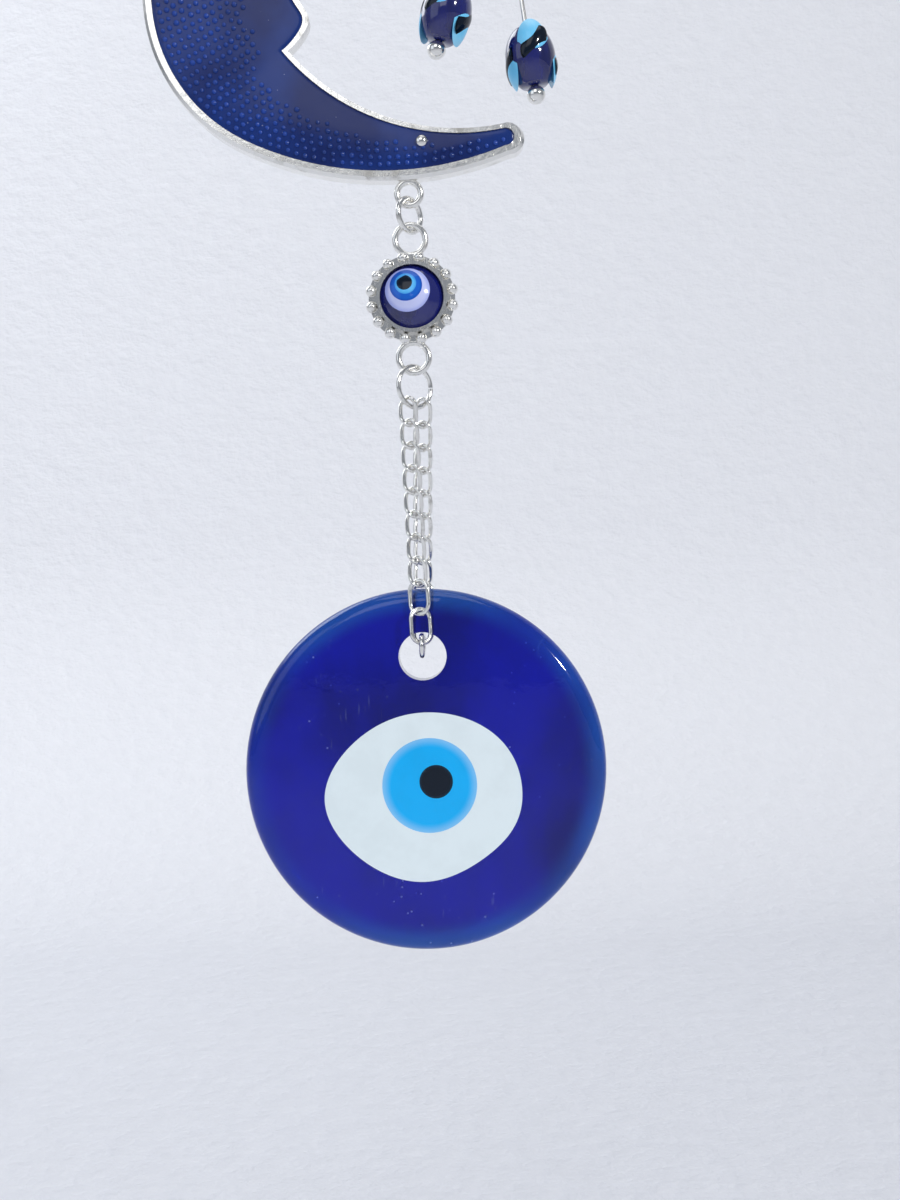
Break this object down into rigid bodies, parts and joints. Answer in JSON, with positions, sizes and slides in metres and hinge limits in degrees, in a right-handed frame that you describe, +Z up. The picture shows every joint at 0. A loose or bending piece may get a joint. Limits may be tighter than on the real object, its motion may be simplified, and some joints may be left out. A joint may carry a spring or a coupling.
{
  "type": "evil eye ornament",
  "caption": "Hanging evil eye ornament: enamelled crescent moon, bezel-set eye connector, chain loop and pierced blue glass eye disc, with eye beads and medals on the horn.",
  "frame": {"origin": "the point inside the top of the hanging ring that bears on a hook", "axes": "+Z up, the face of the ornament towards -Y"},
  "size_m": [0.0613, 0.012, 0.1944],
  "materials": {
    "silver_plate": "polished",
    "enamel": "gloss",
    "cobalt_glass": "gloss",
    "navy_glass": "gloss",
    "white_glass": "gloss",
    "turquoise_glass": "gloss",
    "pale_glass": "gloss",
    "black_glass": "gloss"
  },
  "bodies": {
    "hanging_ring": {"hanging_ring": "silver_plate"},
    "top_jump_ring": {"top_jump_ring": "silver_plate"},
    "moon": {"moon_casting": "silver_plate", "moon_enamel": "enamel"},
    "lower_jump_ring": {"lower_jump_ring": "silver_plate"},
    "connector": {"bezel_setting": "silver_plate", "bead_dome": "navy_glass", "bead_white": "white_glass", "bead_blue": "turquoise_glass", "bead_pale": "pale_glass", "bead_pupil": "black_glass"},
    "chain_ring": {"chain_ring": "silver_plate"},
    "chain_level_01": {"front_link_01": "silver_plate", "back_link_01": "silver_plate"},
    "chain_level_02": {"front_link_02": "silver_plate", "back_link_02": "silver_plate"},
    "chain_level_03": {"front_link_03": "silver_plate", "back_link_03": "silver_plate"},
    "chain_level_04": {"front_link_04": "silver_plate", "back_link_04": "silver_plate"},
    "chain_level_05": {"front_link_05": "silver_plate", "back_link_05": "silver_plate"},
    "chain_level_06": {"front_link_06": "silver_plate", "back_link_06": "silver_plate"},
    "chain_level_07": {"front_link_07": "silver_plate", "back_link_07": "silver_plate"},
    "chain_level_08": {"front_link_08": "silver_plate", "back_link_08": "silver_plate"},
    "chain_level_09": {"front_link_09": "silver_plate", "back_link_09": "silver_plate"},
    "chain_level_10": {"front_link_10": "silver_plate", "back_link_10": "silver_plate"},
    "through_link": {"through_link": "silver_plate"},
    "disc": {"glass_disc": "cobalt_glass", "eye_white": "white_glass", "eye_iris": "turquoise_glass", "eye_pupil": "black_glass"},
    "horn_link_1": {"horn_link_1": "silver_plate"},
    "horn_link_2": {"horn_link_2": "silver_plate"},
    "horn_link_3": {"horn_link_3": "silver_plate"},
    "bunch_ring": {"bunch_ring": "silver_plate"},
    "left_drop_pin": {"left_drop_pin": "silver_plate"},
    "left_drop_bead": {"left_drop_bead": "navy_glass"},
    "right_drop_pin": {"right_drop_pin": "silver_plate"},
    "right_drop_bead": {"right_drop_bead": "navy_glass"},
    "small_medal_ring": {"small_medal_ring": "silver_plate"},
    "small_medal": {"small_medal": "silver_plate"},
    "large_medal_ring": {"large_medal_ring": "silver_plate"},
    "large_medal": {"large_medal": "silver_plate"}
  },
  "joints": [
    {"name": "top_ring_swing", "type": "hinge", "parent": "hanging_ring", "child": "top_jump_ring", "pos_m": [0, 0, -0.0136], "axis": [1, 0, 0], "range_deg": [-35, 35]},
    {"name": "moon_swing", "type": "hinge", "parent": "top_jump_ring", "child": "moon", "pos_m": [0, 0, -0.0174], "axis": [0, 1, 0], "range_deg": [-30, 30]},
    {"name": "lower_ring_swing", "type": "hinge", "parent": "moon", "child": "lower_jump_ring", "pos_m": [0.0069, 0, -0.08942], "axis": [1, 0, 0], "range_deg": [-28, 28]},
    {"name": "connector_swing", "type": "hinge", "parent": "lower_jump_ring", "child": "connector", "pos_m": [0.0069, 0, -0.09307], "axis": [0, 1, 0], "range_deg": [-25, 25]},
    {"name": "chain_ring_swing", "type": "hinge", "parent": "connector", "child": "chain_ring", "pos_m": [0.0069, 0, -0.11272], "axis": [1, 0, 0], "range_deg": [-18, 18]},
    {"name": "chain_swing_01", "type": "hinge", "parent": "chain_ring", "child": "chain_level_01", "pos_m": [0.0069, 0, -0.11665], "axis": [0, 1, 0], "range_deg": [-6, 6]},
    {"name": "chain_swing_02", "type": "hinge", "parent": "chain_level_01", "child": "chain_level_02", "pos_m": [0.0069, 0, -0.11981], "axis": [0, -1, 0], "range_deg": [-7, 7]},
    {"name": "chain_swing_03", "type": "hinge", "parent": "chain_level_02", "child": "chain_level_03", "pos_m": [0.0069, 0, -0.12299], "axis": [0, 1, 0], "range_deg": [-7, 7]},
    {"name": "chain_swing_04", "type": "hinge", "parent": "chain_level_03", "child": "chain_level_04", "pos_m": [0.0069, 0, -0.12617], "axis": [0, -1, 0], "range_deg": [-9, 9]},
    {"name": "chain_swing_05", "type": "hinge", "parent": "chain_level_04", "child": "chain_level_05", "pos_m": [0.0069, 0, -0.12935], "axis": [0, 1, 0], "range_deg": [-10, 10]},
    {"name": "chain_swing_06", "type": "hinge", "parent": "chain_level_05", "child": "chain_level_06", "pos_m": [0.0069, 0, -0.13253], "axis": [0, -1, 0], "range_deg": [-12, 12]},
    {"name": "chain_swing_07", "type": "hinge", "parent": "chain_level_06", "child": "chain_level_07", "pos_m": [0.0069, 0, -0.13571], "axis": [0, 1, 0], "range_deg": [-14, 14]},
    {"name": "chain_swing_08", "type": "hinge", "parent": "chain_level_07", "child": "chain_level_08", "pos_m": [0.0069, 0, -0.13889], "axis": [0, -1, 0], "range_deg": [-15, 15]},
    {"name": "chain_swing_09", "type": "hinge", "parent": "chain_level_08", "child": "chain_level_09", "pos_m": [0.0069, 0, -0.14207], "axis": [0, 1, 0], "range_deg": [-15, 15]},
    {"name": "chain_swing_10", "type": "hinge", "parent": "chain_level_09", "child": "chain_level_10", "pos_m": [0.0069, 0, -0.14604], "axis": [0, -1, 0], "range_deg": [-15, 15]},
    {"name": "through_swing", "type": "hinge", "parent": "chain_level_10", "child": "through_link", "pos_m": [0.0069, 0, -0.15015], "axis": [0, 1, 0], "range_deg": [-15, 15]},
    {"name": "disc_swing", "type": "hinge", "parent": "through_link", "child": "disc", "pos_m": [0.0069, 0, -0.14922], "axis": [0, -1, 0], "range_deg": [-30, 30]},
    {"name": "horn_swing_1", "type": "hinge", "parent": "moon", "child": "horn_link_1", "pos_m": [0.02059, 0, -0.03031], "axis": [0, 1, 0], "range_deg": [-18, 18]},
    {"name": "horn_swing_2", "type": "hinge", "parent": "horn_link_1", "child": "horn_link_2", "pos_m": [0.02059, 0, -0.03301], "axis": [0, -1, 0], "range_deg": [-18, 18]},
    {"name": "horn_swing_3", "type": "hinge", "parent": "horn_link_2", "child": "horn_link_3", "pos_m": [0.02059, 0, -0.03621], "axis": [0, 1, 0], "range_deg": [-18, 18]},
    {"name": "bunch_swing", "type": "hinge", "parent": "horn_link_3", "child": "bunch_ring", "pos_m": [0.02059, 0, -0.03976], "axis": [1, 0, 0], "range_deg": [-14, 14]},
    {"name": "left_drop_swing", "type": "hinge", "parent": "bunch_ring", "child": "left_drop_pin", "pos_m": [0.01764, 0, -0.04585], "axis": [1, 0, 0], "range_deg": [-20, 20]},
    {"name": "left_drop_bead_spin", "type": "hinge", "parent": "left_drop_pin", "child": "left_drop_bead", "pos_m": [0.01288, 0, -0.06292], "axis": [-0.2924, 0, -0.9563], "continuous": true},
    {"name": "right_drop_swing", "type": "hinge", "parent": "bunch_ring", "child": "right_drop_pin", "pos_m": [0.02179, 0, -0.04693], "axis": [1, 0, 0], "range_deg": [-20, 20]},
    {"name": "right_drop_bead_spin", "type": "hinge", "parent": "right_drop_pin", "child": "right_drop_bead", "pos_m": [0.02439, 0, -0.06939], "axis": [0.1219, 0, -0.9925], "continuous": true},
    {"name": "small_medal_ring_swing", "type": "hinge", "parent": "bunch_ring", "child": "small_medal_ring", "pos_m": [0.01974, 0, -0.04702], "axis": [1, 0, 0], "range_deg": [-20, 20]},
    {"name": "small_medal_swing", "type": "hinge", "parent": "small_medal_ring", "child": "small_medal", "pos_m": [0.0197, 0, -0.04918], "axis": [1, 0, 0], "range_deg": [-20, 20]},
    {"name": "large_medal_ring_swing", "type": "hinge", "parent": "bunch_ring", "child": "large_medal_ring", "pos_m": [0.02373, 0, -0.04564], "axis": [1, 0, 0], "range_deg": [-20, 20]},
    {"name": "large_medal_swing", "type": "hinge", "parent": "large_medal_ring", "child": "large_medal", "pos_m": [0.02467, 0, -0.04764], "axis": [1, 0, 0], "range_deg": [-20, 20]}
  ]
}
